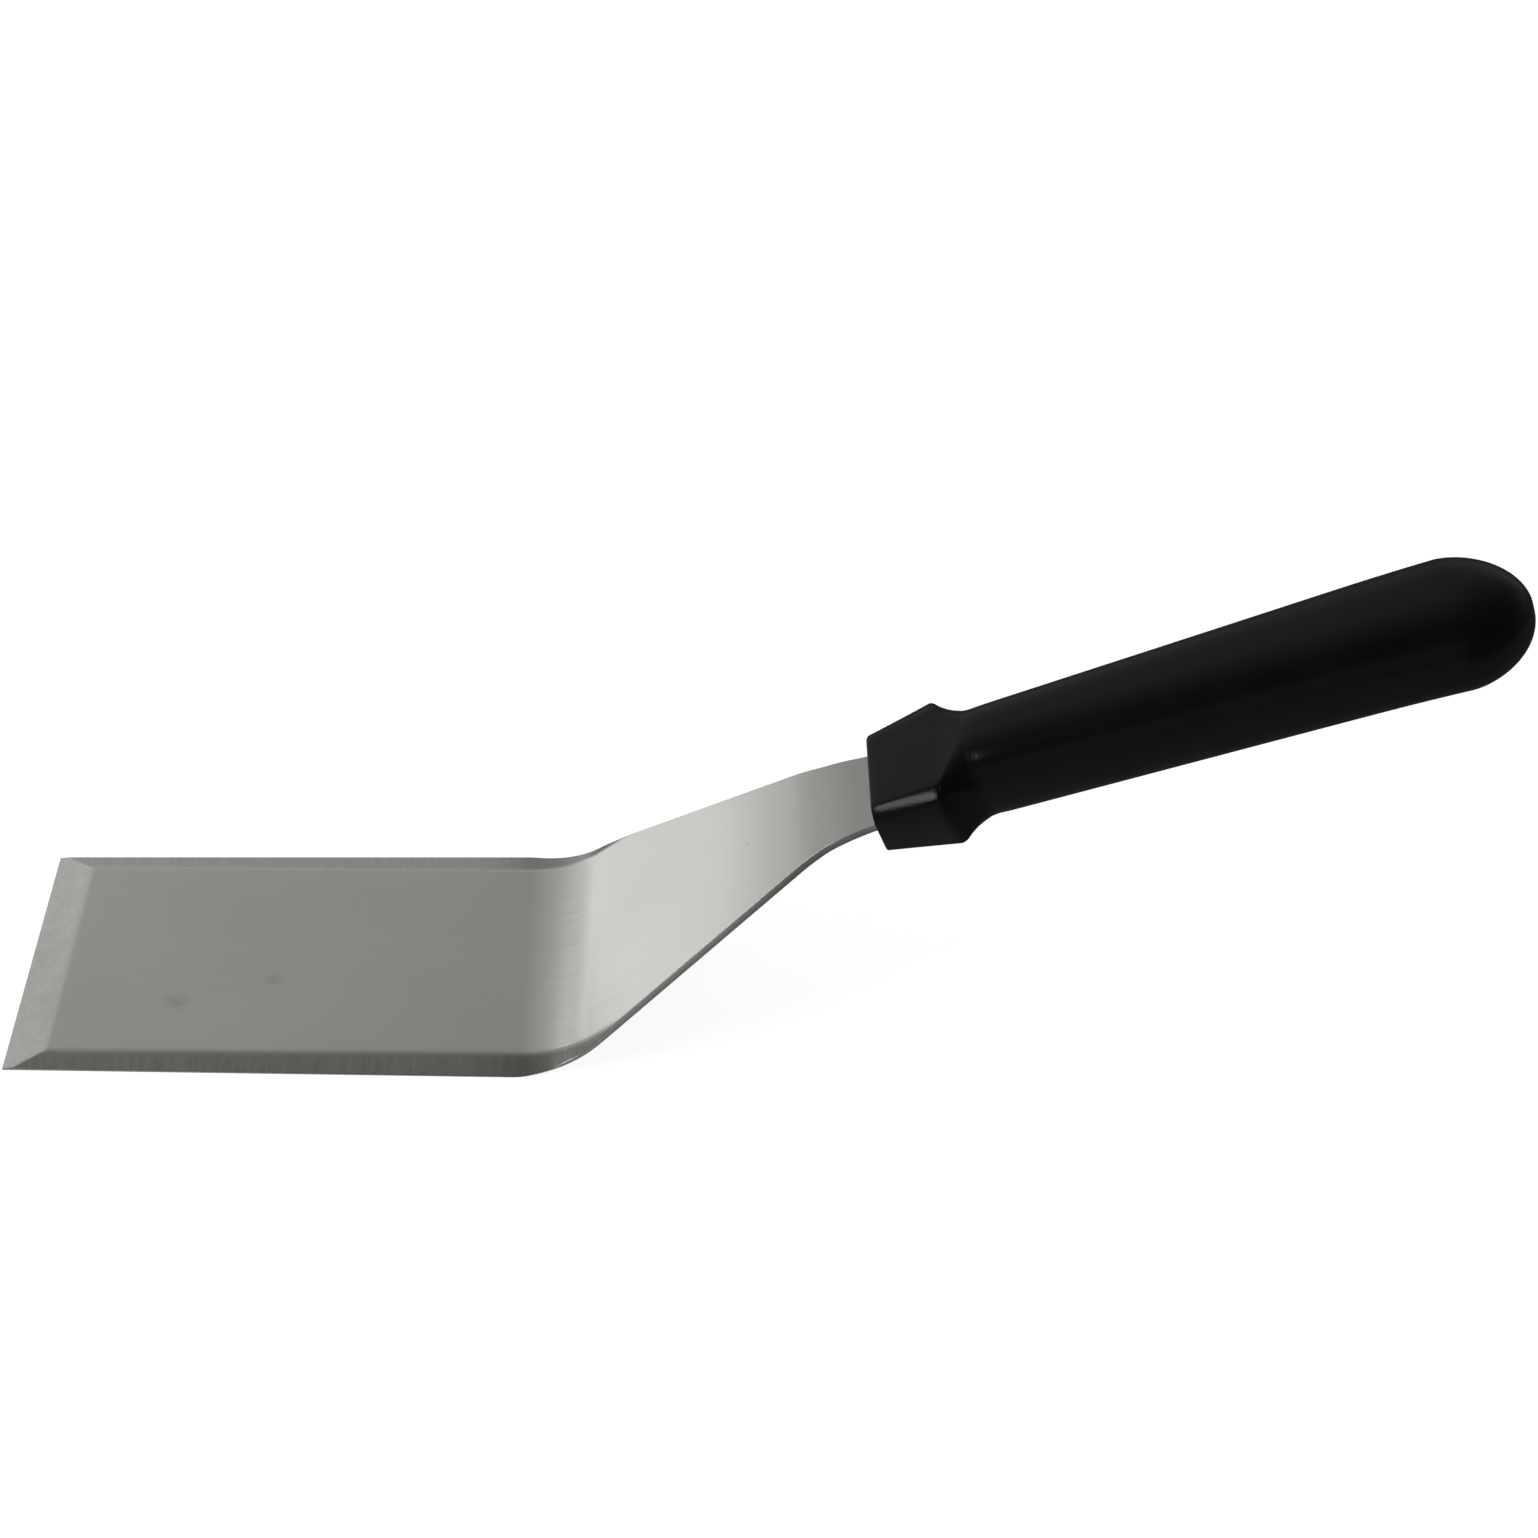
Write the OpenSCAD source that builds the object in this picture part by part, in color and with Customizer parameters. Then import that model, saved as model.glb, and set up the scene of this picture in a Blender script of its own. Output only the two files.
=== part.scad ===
// Offset spatula: a ground steel blade on a cranked neck, with a handle moulded over its tang.
// The origin is the middle of the blade's flat underside. The tip points to -X, the handle to +X.

/* [Blade] */
// Length of the flat part, from the tip to the start of the first bend
blade_len = 99.6; // [80:0.2:130]
// Width of the blade at its tip
tip_w = 52.4; // [50:0.2:56]
// Width of the blade at its heel
heel_w = 54.6; // [52:0.2:58]
// Thickness of the steel sheet
sheet_t = 1.6; // [1.2:0.1:2]
// Thickness left at the ground edges
edge_t = 0.3; // [0.2:0.1:0.6]
// Width of the bevel ground along each long edge
side_bevel = 4.8; // [3:0.1:6]
// Width of the bevel ground across the tip
tip_bevel = 8.1; // [5:0.1:12]

/* [Neck] */
// Pitch of the neck above the blade, in degrees
neck_pitch = 44.4; // [38:0.2:50]
// Radius of the bend at the heel, at the middle of the sheet
heel_bend_r = 20; // [12:1:26]
// Straight length of the neck between its two bends
neck_len = 54; // [46:0.5:65]
// Radius of the bend below the handle, at the middle of the sheet
top_bend_r = 42; // [20:1:46]
// Straight length from the second bend to the handle
neck_end_len = 4; // [3:0.2:12]
// Length of the short corner cut at each side of the heel, along the sheet
corner_len = 17.4; // [10:0.2:20]
// Width where the corner cut meets the long taper
corner_w = 48.8; // [46:0.2:51]
// Width where the long taper ends
taper_end_w = 19.4; // [18.4:0.2:24]
// Width where the neck enters the handle
neck_end_w = 17; // [14:0.2:18]

/* [Tang] */
// Length of the tang inside the handle
tang_len = 70; // [50:1:85]
// Width of the tang behind its shoulders
tang_w = 9.5; // [7:0.5:11]
// Diameter of the two locking holes
lock_hole_d = 5; // [3:0.5:5]

/* [Handle] */
// Pitch of the handle above the blade, in degrees
handle_pitch = 25.5; // [20:0.5:32]
// Length of the handle
handle_len = 115.7; // [105:0.1:130]
// Length of the flared bolster
bolster_len = 13.6; // [12:0.1:18]
// Width of the bolster's front face
bolster_front_w = 21.4; // [19.6:0.2:23]
// Height of the bolster's front face
bolster_front_h = 11.8; // [10:0.2:13]
// How far forward the bolster's front face leans at its bottom
front_lean = 1; // [0:0.1:1.5]
// Width of the bolster at its rear
bolster_rear_w = 24; // [22:0.2:26]
// Height of the bolster at its rear
bolster_rear_h = 15.6; // [14:0.2:18]
// Width of the facet along each edge of the bolster, at its front
facet_front_w = 2.6; // [2:0.1:4]
// Height of that facet at the bolster's front
facet_front_h = 2.2; // [1.4:0.1:3]
// Width of that facet at the bolster's rear
facet_rear_w = 3.1; // [2:0.1:4]
// Height of that facet at the bolster's rear
facet_rear_h = 1.5; // [0.8:0.1:2.4]
// Width of the grip just behind the bolster
grip_front_w = 18.4; // [16:0.2:20]
// Thickness of the grip just behind the bolster
grip_front_h = 18.4; // [16:0.2:20]
// Width of the grip before the round butt
grip_rear_w = 23.6; // [20:0.2:28]
// Thickness of the grip before the round butt
grip_rear_h = 18.6; // [15:0.2:20]
// Length of the round butt
butt_len = 13; // [10:0.2:16]
// How far the end of the butt drops below the grip's axis
butt_drop = 1.2; // [0:0.1:1.5]

/* [Hidden] */
$fn = 96;

// The sheet's developed outline runs along a path that starts at the heel and follows the bends.
heel_arc = heel_bend_r * neck_pitch * PI / 180;
top_arc = top_bend_r * (neck_pitch - handle_pitch) * PI / 180;
top_bend_at = heel_arc + neck_len;
// The taper ends this share of the way round the second bend.
taper_end_share = 0.5;
taper_end_at = top_bend_at + top_arc * taper_end_share;
tang_at = top_bend_at + top_arc;
handle_at = tang_at + neck_end_len;

// Where the mid surface of the sheet is at the end of each stretch, as [x, z].
heel_point = [blade_len / 2, sheet_t / 2];
heel_centre = heel_point + [0, heel_bend_r];
neck_point = heel_centre - heel_bend_r * normal(neck_pitch);
top_bend_point = neck_point + neck_len * heading(neck_pitch);
top_bend_centre = top_bend_point - top_bend_r * normal(neck_pitch);
tang_point = top_bend_centre + top_bend_r * normal(handle_pitch);
handle_point = tang_point + neck_end_len * heading(handle_pitch);

// How far the handle's axis lies above the middle of the tang
handle_rise = -0.3;
// The neck goes this far into the bolster before the tang's shoulders begin and end
shoulder_start = 3;
shoulder_end = 9;
// The tang's two end corners are cut off by this much
tang_corner = 2;
lock_hole_at = [24, 46];
// The outline's corners are rounded over this length to each side
corner_blend = 1.2;
// The outline is cut square to a sheet at this pitch, between those of the blade and the neck
cut_pitch = 30;
cut_reach = 150;

function heading(pitch) = [cos(pitch), sin(pitch)];
function normal(pitch) = [-sin(pitch), cos(pitch)];

// Pitch of the sheet at a distance s along it from the heel
function pitch_at(s) =
    s < 0 ? 0
    : s < heel_arc ? neck_pitch * s / heel_arc
    : s < top_bend_at ? neck_pitch
    : s < tang_at ? neck_pitch - (neck_pitch - handle_pitch) * (s - top_bend_at) / top_arc
    : handle_pitch;

// [x, z] of the mid surface at a distance s along the sheet from the heel
function path(s) =
    s < 0 ? heel_point + s * heading(0)
    : s < heel_arc ? heel_centre - heel_bend_r * normal(pitch_at(s))
    : s < top_bend_at ? neck_point + (s - heel_arc) * heading(neck_pitch)
    : s < tang_at ? top_bend_centre + top_bend_r * normal(pitch_at(s))
    : tang_point + (s - tang_at) * heading(handle_pitch);

// Half width of the sheet at its outline's corners: [distance from the heel, half width]
side_slope = (heel_w - tip_w) / 2 / blade_len;
outline_corners = [
    [-blade_len - corner_blend, tip_w / 2 - side_slope * corner_blend],
    [0, heel_w / 2],
    [corner_len, corner_w / 2],
    [taper_end_at, taper_end_w / 2],
    [handle_at - neck_end_len / 2, neck_end_w / 2],
    [handle_at + shoulder_start, neck_end_w / 2],
    [handle_at + shoulder_end, tang_w / 2]
];

function mean(list) = list * [for (item = list) 1] / len(list);

// The mean over a short stretch rounds each corner into a smooth curve.
function half_width(s) =
    mean([for (k = [-1 : 0.25 : 1]) lookup(s + k * corner_blend, outline_corners)]);

// Points are only needed where the outline or the sheet is curved.
station_step = 1;
outline_stations = concat(
    [-blade_len - corner_blend],
    [for (s = [-corner_blend : station_step : heel_arc + corner_blend]) s],
    [for (s = [top_bend_at - corner_blend : station_step : handle_at + shoulder_end + corner_blend]) s]
);

function cut_plane_x(s) = path(s) * heading(cut_pitch);

bend_steps = 18;
bend_stations = concat(
    [-blade_len],
    [for (k = [0 : bend_steps]) heel_arc * k / bend_steps],
    [for (k = [0 : bend_steps / 2]) top_bend_at + top_arc * k * 2 / bend_steps],
    [handle_at + tang_len]
);

function sheet_face(height) = [for (s = bend_stations) path(s) + height * normal(pitch_at(s))];

// The bent sheet before its outline is cut and its edges are ground
module bent_sheet() {
    under = sheet_face(-sheet_t / 2);
    over = sheet_face(sheet_t / 2);
    rotate([90, 0, 0]) linear_extrude(heel_w, center = true)
        polygon(concat(under, [for (i = [len(over) - 1 : -1 : 0]) over[i]]));
}

// What the grinding takes off both long edges, as [across, above the middle of the sheet]
grind_reach = 1;
module ground_off() {
    slope = (sheet_t - edge_t) / side_bevel;
    inner = heel_w / 2 - side_bevel - grind_reach;
    outer = heel_w / 2 + grind_reach;
    high = sheet_t / 2 + grind_reach * slope;
    low = edge_t - sheet_t / 2 - grind_reach * slope;
    for (side = [-1, 1])
        polygon([[side * inner, high], [side * outer, low], [side * outer, high]]);
}

// A straight stretch that starts at a point and runs at a pitch
module straight_run(start, pitch, length) {
    translate([start.x, 0, start.y]) rotate([0, -pitch, 0]) rotate([90, 0, 90])
        linear_extrude(length) children();
}

// The bevels are ground before the sheet is bent, so they follow the bend at the heel.
module side_grind() {
    overlap = 2;
    straight_run(heel_point - [blade_len + grind_reach, 0], 0, blade_len + grind_reach) ground_off();
    translate([heel_centre.x, 0, heel_centre.y]) rotate([90, 0, 0]) rotate([0, 0, -90 - overlap])
        rotate_extrude(angle = neck_pitch + overlap * 2)
            translate([heel_bend_r, 0]) rotate(90) ground_off();
    straight_run(neck_point, neck_pitch, neck_len) ground_off();
}

// The sheet's outline, pushed through the bent sheet
module outline_cut() {
    sides = [for (s = outline_stations) [cut_plane_x(s), half_width(s)]];
    tang_sides = [
        [cut_plane_x(handle_at + tang_len - tang_corner), tang_w / 2],
        [cut_plane_x(handle_at + tang_len + tang_corner / 2), tang_w / 2 - tang_corner * 1.5]
    ];
    left = concat(sides, tang_sides);
    right = [for (i = [len(left) - 1 : -1 : 0]) [left[i].x, -left[i].y]];
    rotate([0, -cut_pitch, 0]) translate([0, 0, -cut_reach / 2])
        linear_extrude(cut_reach) polygon(concat(left, right));
}

// Takes away everything above the bevel across the tip
module tip_grind() {
    slope = atan((sheet_t - edge_t) / tip_bevel);
    translate([-blade_len / 2, 0, edge_t]) rotate([0, -slope, 0])
        translate([-tip_bevel / 2, -heel_w, 0]) cube([tip_bevel * 2, heel_w * 2, sheet_t * 4]);
}

module lock_holes() {
    translate([handle_point.x, 0, handle_point.y]) rotate([0, -handle_pitch, 0])
        for (along = lock_hole_at)
            translate([along, 0, 0]) cylinder(d = lock_hole_d, h = sheet_t * 4, center = true);
}

module steel_piece() {
    difference() {
        intersection() {
            bent_sheet();
            outline_cut();
        }
        side_grind();
        tip_grind();
        lock_holes();
    }
}

// The handle is a run of rings across its axis. u is the distance from its front face.
// Behind the bolster the hollow of its sides ends after cove_len, its flat top narrows to nothing
// after flat_end_len, its edges are as full as the grip's after full_len, and its rising top has
// run into the grip's after ridge_len.
cove_len = 7;
flat_end_len = 5.3;
full_len = 6;
ridge_len = 12;
front_edge_r = 0.4;
// How full an edge is: 1 is a flat facet, 2 an ellipse
facet_fullness = 1.3;
grip_fullness = 2.4;
butt_fullness = 1.75;
// Share of the grip's thickness that stands upright at its sides
upright_share = 0.05;
grip_at = bolster_len + cove_len;
butt_at = handle_len - butt_len;
drop_at = butt_at - 16;

function mix(a, b, share) = a + (b - a) * share;
// A soft step from 0 to 1 over a length that starts at 0
function soft_step(past, length) = let (share = max(0, min(1, past / length))) share * share * (3 - 2 * share);
// A hollow quarter curve: steep where it leaves the bolster, level where it joins the grip
function hollow(share) = 1 - sqrt(1 - pow(1 - share, 2));
// How far a full edge has fallen, at a share of the way from its top to its side
function fall(share, fullness) = 1 - pow(1 - pow(share, fullness), 1 / fullness);

// [half width, half height, edge width, edge height, edge fullness] at a distance u
function bolster_size(u) =
    mix([bolster_front_w / 2, bolster_front_h / 2, facet_front_w, facet_front_h, facet_fullness],
        [bolster_rear_w / 2, bolster_rear_h / 2, facet_rear_w, facet_rear_h, facet_fullness],
        u / bolster_len);

function grip_half(u) =
    mix([grip_front_w, grip_front_h] / 2, [grip_rear_w, grip_rear_h] / 2, (u - grip_at) / (butt_at - grip_at));

function grip_size(u) =
    let (rear = bolster_size(bolster_len), grip = grip_half(u), past = u - bolster_len,
         half_w = mix(grip.x, rear[0], hollow(min(1, past / cove_len))),
         half_h = mix(bolster_size(u)[1], grip.y, soft_step(past, ridge_len)),
         flat = (rear[0] - rear[2]) * max(0, 1 - past / flat_end_len),
         edge_h = mix(rear[3], half_h * (1 - upright_share), soft_step(past, cove_len)))
    [half_w, half_h, half_w - flat, edge_h, mix(facet_fullness, grip_fullness, soft_step(past, full_len))];

function size_at(u) = u <= bolster_len ? bolster_size(u) : grip_size(u);

// Distance of a point of the butt's plan view from its middle, as a share of the outline's
function butt_share(past, across) =
    pow(pow(past, butt_fullness) + pow(abs(across), butt_fullness), 1 / butt_fullness);

// How far a point of the plan view lies inside the handle's outline
function depth_inside(u, y, half_w) =
    let (past = u - butt_at)
    past <= 0 ? half_w - abs(y)
    : let (share = butt_share(past / butt_len, y / half_w)) (1 - share) / share * norm([past, y]);

// Half width of the plan view, with the butt drawn in
function plan_half_w(u) =
    let (past = max(0, u - butt_at) / butt_len)
    size_at(u)[0] * pow(1 - pow(past, butt_fullness), 1 / butt_fullness);

// Height of the upper surface over a point of the plan view
function upper(u, y, size) =
    let (edge_share = 1 - min(1, max(0, depth_inside(u, y, size[0])) / size[2]))
    size[1] - size[3] * fall(edge_share, size[4]);

flat_steps = 5;
edge_steps = 8;

// Distances from the middle line to the side: even over the flat part, closer towards the side
function half_row(half_w, edge_w) =
    let (flat = half_w - min(edge_w, half_w * 0.6))
    concat([for (k = [1 : flat_steps]) flat * k / flat_steps],
           [for (k = [1 : edge_steps]) mix(flat, half_w, sin(k * 90 / edge_steps))]);

function ring(u, inset) =
    let (size = size_at(u), half = half_row(plan_half_w(u), size[2]), last = len(half) - 1,
         row = concat([for (i = [last : -1 : 0]) -half[i]], [0], half),
         drop = butt_drop * pow(max(0, u - drop_at) / (handle_len - drop_at), 2),
         lean = front_lean / bolster_front_h * max(0, 1 - u / bolster_len),
         upper_row = [for (y = row) [y * (1 - inset / size[0]), upper(u, y, size) * (1 - inset / size[1])]],
         lower_row = [for (i = [len(row) - 1 : -1 : 0]) [upper_row[i].x, -upper_row[i].y]])
    [for (p = concat(upper_row, lower_row)) [u - lean * (bolster_front_h / 2 - p.y), p.x, p.y - drop]];

butt_rings = 14;
// The last ring stops just short of the point where the ring would have no width.
butt_sweep = 87;
handle_rings = concat(
    [ring(0, front_edge_r), ring(front_edge_r * 0.3, front_edge_r * 0.3), ring(front_edge_r, 0)],
    [ring(bolster_len / 2, 0), ring(bolster_len, 0)],
    [for (k = [1 : 12]) ring(bolster_len + cove_len * (1 - cos(k * 7.5)), 0)],
    [for (k = [1 : 12]) ring(mix(grip_at, butt_at, pow(k / 12, 1.2)), 0)],
    [for (k = [1 : butt_rings]) ring(butt_at + butt_len * sin(k * butt_sweep / butt_rings), 0)]
);

module handle_form() {
    around = len(handle_rings[0]);
    count = len(handle_rings);
    skin = [for (i = [0 : count - 2], j = [0 : around - 1])
        let (next = (j + 1) % around)
        [i * around + j, i * around + next, (i + 1) * around + next, (i + 1) * around + j]];
    front_cap = [for (j = [around - 1 : -1 : 0]) j];
    rear_cap = [for (j = [0 : around - 1]) (count - 1) * around + j];
    polyhedron([for (one = handle_rings) each one], concat(skin, [front_cap, rear_cap]), convexity = 4);
}

module blade() {
    color([0.74, 0.74, 0.72]) steel_piece();
}

// The plastic fills the locking holes, so only the steel itself is taken out of the handle.
module handle() {
    color([0.12, 0.13, 0.13]) difference() {
        translate([handle_point.x, 0, handle_point.y]) rotate([0, -handle_pitch, 0])
            translate([0, 0, handle_rise]) handle_form();
        steel_piece();
    }
}

blade();
handle();
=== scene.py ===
import math

import bpy
import numpy as np
from mathutils import Matrix, Vector


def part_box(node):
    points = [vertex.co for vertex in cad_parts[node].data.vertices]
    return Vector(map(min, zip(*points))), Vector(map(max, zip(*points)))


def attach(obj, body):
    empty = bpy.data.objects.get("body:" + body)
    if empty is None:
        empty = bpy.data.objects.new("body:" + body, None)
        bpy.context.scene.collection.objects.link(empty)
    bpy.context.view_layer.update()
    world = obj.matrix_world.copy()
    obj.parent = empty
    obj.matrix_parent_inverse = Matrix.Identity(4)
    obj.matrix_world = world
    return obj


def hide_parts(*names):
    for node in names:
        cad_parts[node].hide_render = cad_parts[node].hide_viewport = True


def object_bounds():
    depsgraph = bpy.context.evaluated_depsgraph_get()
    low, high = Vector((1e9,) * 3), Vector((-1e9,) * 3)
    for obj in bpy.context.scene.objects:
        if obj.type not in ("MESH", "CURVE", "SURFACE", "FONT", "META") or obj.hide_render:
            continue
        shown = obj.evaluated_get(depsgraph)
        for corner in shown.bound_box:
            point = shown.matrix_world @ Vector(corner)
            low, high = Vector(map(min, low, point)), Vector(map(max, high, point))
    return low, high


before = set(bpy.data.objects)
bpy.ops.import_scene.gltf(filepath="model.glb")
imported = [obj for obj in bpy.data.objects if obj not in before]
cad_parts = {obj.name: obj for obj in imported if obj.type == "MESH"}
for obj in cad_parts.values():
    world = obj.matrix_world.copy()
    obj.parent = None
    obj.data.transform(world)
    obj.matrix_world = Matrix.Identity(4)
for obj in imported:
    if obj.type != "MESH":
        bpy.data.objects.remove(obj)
cad_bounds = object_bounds()

MM = 0.001

# ---------------------------------------------------------------- camera

VIEW_AZIMUTH = -1.2
VIEW_ELEVATION = 48.3
VIEW_ROLL = 1.33
VIEW_DISTANCE = 0.363
VIEW_LENS = 47.2
VIEW_SHIFT = (0.0269, -0.0037)
# Where the camera's axis meets the object's middle plane, as shares of the object's box
AIM_SHARE = (0.5095, 0.5, 0.5671)


def make_camera():
    low, high = cad_bounds
    aim = Vector([a + (b - a) * share for a, b, share in zip(low, high, AIM_SHARE)])
    azimuth, elevation = math.radians(VIEW_AZIMUTH), math.radians(VIEW_ELEVATION)
    back = Vector((
        math.sin(azimuth) * math.cos(elevation),
        -math.cos(azimuth) * math.cos(elevation),
        math.sin(elevation),
    ))
    right = Vector((math.cos(azimuth), math.sin(azimuth), 0))
    turn = Matrix((right, back.cross(right), back)).transposed()
    roll = Matrix.Rotation(math.radians(VIEW_ROLL), 3, "Z")
    data = bpy.data.cameras.new("camera")
    data.sensor_width = 36
    data.lens = VIEW_LENS
    data.shift_x, data.shift_y = VIEW_SHIFT
    camera = bpy.data.objects.new("camera", data)
    bpy.context.collection.objects.link(camera)
    camera.matrix_world = Matrix.Translation(aim + back * VIEW_DISTANCE) @ (turn @ roll).to_4x4()
    bpy.context.scene.camera = camera


make_camera()

# ---------------------------------------------------------------- driving sizes, in metres

blade_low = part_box("blade")[0]

HEEL_W = 54.6 * MM
TIP_W = 52.4 * MM
BLADE_LEN = -2 * blade_low.x
SHEET_T = 1.6 * MM
EDGE_T = 0.3 * MM
SIDE_BEVEL = 4.8 * MM
TIP_BEVEL = 8.1 * MM

NECK_PITCH = math.radians(44.4)
HANDLE_PITCH = math.radians(25.5)
HEEL_BEND_R = 20 * MM
TOP_BEND_R = 42 * MM
NECK_LEN = 54 * MM
NECK_END_LEN = 4 * MM
CORNER_LEN = 17.4 * MM
CORNER_W = 48.8 * MM
TAPER_END_W = 19.4 * MM
TAPER_END_SHARE = 0.5
NECK_END_W = 17 * MM
CORNER_BLEND = 1.2 * MM

TANG_LEN = 70 * MM
TANG_W = 9.5 * MM
TANG_CORNER = 2 * MM
SHOULDER_START = 3 * MM
SHOULDER_END = 9 * MM
LOCK_HOLE_R = 2.5 * MM
LOCK_HOLES_AT = (24 * MM, 46 * MM)

# A little short of the CAD handle, so that the finer rings of the butt stay inside its facets
HANDLE_LEN = 115.68 * MM
HANDLE_RISE = -0.3 * MM
BOLSTER_LEN = 13.6 * MM
COVE_LEN = 7 * MM
# Behind the bolster: where its flat has run out, where its edges are full, where its ridge has gone
FLAT_END_LEN = 5.3 * MM
FULL_LEN = 6 * MM
RIDGE_LEN = 12 * MM
BUTT_LEN = 13 * MM
# The butt droops by this much, starting this far ahead of it
BUTT_DROP = 1.2 * MM
DROP_LEN = 16 * MM
FRONT_LEAN = 1 * MM

# ---------------------------------------------------------------- path of the sheet


def heading(pitch):
    return np.array([math.cos(pitch), math.sin(pitch)])


def normal(pitch):
    return np.array([-math.sin(pitch), math.cos(pitch)])


HEEL_ARC = HEEL_BEND_R * NECK_PITCH
TOP_ARC = TOP_BEND_R * (NECK_PITCH - HANDLE_PITCH)
TOP_BEND_AT = HEEL_ARC + NECK_LEN
TANG_AT = TOP_BEND_AT + TOP_ARC
HANDLE_AT = TANG_AT + NECK_END_LEN

HEEL_POINT = np.array([BLADE_LEN / 2, SHEET_T / 2])
HEEL_CENTRE = HEEL_POINT + HEEL_BEND_R * normal(0)
NECK_POINT = HEEL_CENTRE - HEEL_BEND_R * normal(NECK_PITCH)
TOP_BEND_CENTRE = NECK_POINT + NECK_LEN * heading(NECK_PITCH) - TOP_BEND_R * normal(NECK_PITCH)
TANG_POINT = TOP_BEND_CENTRE + TOP_BEND_R * normal(HANDLE_PITCH)
HANDLE_POINT = TANG_POINT + NECK_END_LEN * heading(HANDLE_PITCH)


def pitch_at(s):
    """Pitch of the sheet at a distance s along it from the heel."""
    share = (s - TOP_BEND_AT) / TOP_ARC
    return np.interp(s, [0, HEEL_ARC], [0, NECK_PITCH]) - (NECK_PITCH - HANDLE_PITCH) * min(1, max(0, share))


def path(s):
    """[x, z] of the middle of the sheet at a distance s along it from the heel."""
    if s < 0:
        return HEEL_POINT + s * heading(0)
    if s < HEEL_ARC:
        return HEEL_CENTRE - HEEL_BEND_R * normal(pitch_at(s))
    if s < TOP_BEND_AT:
        return NECK_POINT + (s - HEEL_ARC) * heading(NECK_PITCH)
    if s < TANG_AT:
        return TOP_BEND_CENTRE + TOP_BEND_R * normal(pitch_at(s))
    return TANG_POINT + (s - TANG_AT) * heading(HANDLE_PITCH)


OUTLINE_CORNERS = np.array([
    [-BLADE_LEN, TIP_W / 2],
    [0, HEEL_W / 2],
    [CORNER_LEN, CORNER_W / 2],
    [TOP_BEND_AT + TOP_ARC * TAPER_END_SHARE, TAPER_END_W / 2],
    [HANDLE_AT - NECK_END_LEN / 2, NECK_END_W / 2],
    [HANDLE_AT + SHOULDER_START, NECK_END_W / 2],
    [HANDLE_AT + SHOULDER_END, TANG_W / 2],
    [HANDLE_AT + TANG_LEN - TANG_CORNER, TANG_W / 2],
])


def half_width(s):
    """Half width of the sheet at s, with the outline's corners rounded by a running mean."""
    spread = np.linspace(-1, 1, 17) * CORNER_BLEND
    rounded = np.interp(s + spread, *OUTLINE_CORNERS.T).mean()
    past_corner = s - (HANDLE_AT + TANG_LEN - TANG_CORNER)
    return rounded - max(0, past_corner)


# ---------------------------------------------------------------- mesh helpers


def new_piece(name, verts, faces, face_material=None, uvs=None):
    mesh = bpy.data.meshes.new(name)
    mesh.from_pydata([tuple(v) for v in verts], [], [tuple(int(i) for i in f) for f in faces])
    if uvs is not None:
        layer = mesh.uv_layers.new(name="along_sheet")
        loops = np.empty(len(mesh.loops), dtype=np.int32)
        mesh.loops.foreach_get("vertex_index", loops)
        layer.data.foreach_set("uv", np.asarray(uvs, dtype=np.float32)[loops].ravel())
    if face_material is not None:
        mesh.polygons.foreach_set("material_index", np.asarray(face_material, dtype=np.int32))
    mesh.polygons.foreach_set("use_smooth", np.ones(len(mesh.polygons), dtype=bool))
    mesh.validate()
    piece = bpy.data.objects.new(name, mesh)
    bpy.context.collection.objects.link(piece)
    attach(piece, "root")
    return piece


def band_face(ring, j, around):
    """Quad between a ring and the next one, from vertex j of the ring to the vertex after it."""
    k = (j + 1) % around
    return (ring * around + j, ring * around + k, (ring + 1) * around + k, (ring + 1) * around + j)


def cap_faces(start, across, flip):
    """Quads that close an end ring: start is its first vertex, across how many its upper face has."""
    last = start + 2 * across - 1
    quads = [[start + j, last - j, last - 1 - j, start + j + 1] for j in range(across - 1)]
    return [quad[::-1] for quad in quads] if flip else quads


def soft_step_up(x, softness):
    """max(0, x) with its corner rounded over about that distance."""
    return 0.5 * (x + np.sqrt(x * x + softness * softness))


# ---------------------------------------------------------------- steel piece

CREASE_SOFT = 0.35 * MM
# Every outer edge is broken by this much
BREAK = 0.07 * MM
# Rows this close to a broken edge keep its shading off the flat beside it
HOLD = 0.08 * MM
INNER_ROWS = 9
OUTER_ROWS = 5
# The side bevel's inner line stays this far inside the outline
CREASE_MARGIN = 0.2 * MM
# The rows about the crease take up at most this share of the room outside it
CREASE_ROOM_SHARE = 0.8
SIDE_SLOPE = (SHEET_T - EDGE_T) / SIDE_BEVEL
TIP_SLOPE = (SHEET_T - EDGE_T) / TIP_BEVEL
BEVEL_INNER = HEEL_W / 2 - SIDE_BEVEL
CREASE_ROWS = np.array([-0.9, -0.5, -0.25, 0, 0.25, 0.5, 0.9]) * MM
TIP_INNER = -BLADE_LEN + TIP_BEVEL
FACE, SIDE_GROUND, TIP_GROUND, CUT = 0, 1, 2, 3


def upper_height(s, y):
    """Height of the upper face above the middle of the sheet, after both grinds."""
    side = soft_step_up(np.abs(y) - BEVEL_INNER, CREASE_SOFT) * SIDE_SLOPE
    tip = soft_step_up(TIP_INNER - s, CREASE_SOFT) * TIP_SLOPE
    return SHEET_T / 2 - np.maximum(side, tip)


def crease_line(s):
    """Inner line of the side bevel: the mitre at the tip, and just inside the outline past the heel."""
    mitre = max(0, TIP_INNER - s) * TIP_SLOPE / SIDE_SLOPE
    return min(BEVEL_INNER + mitre, half_width(s) - CREASE_MARGIN)


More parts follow.
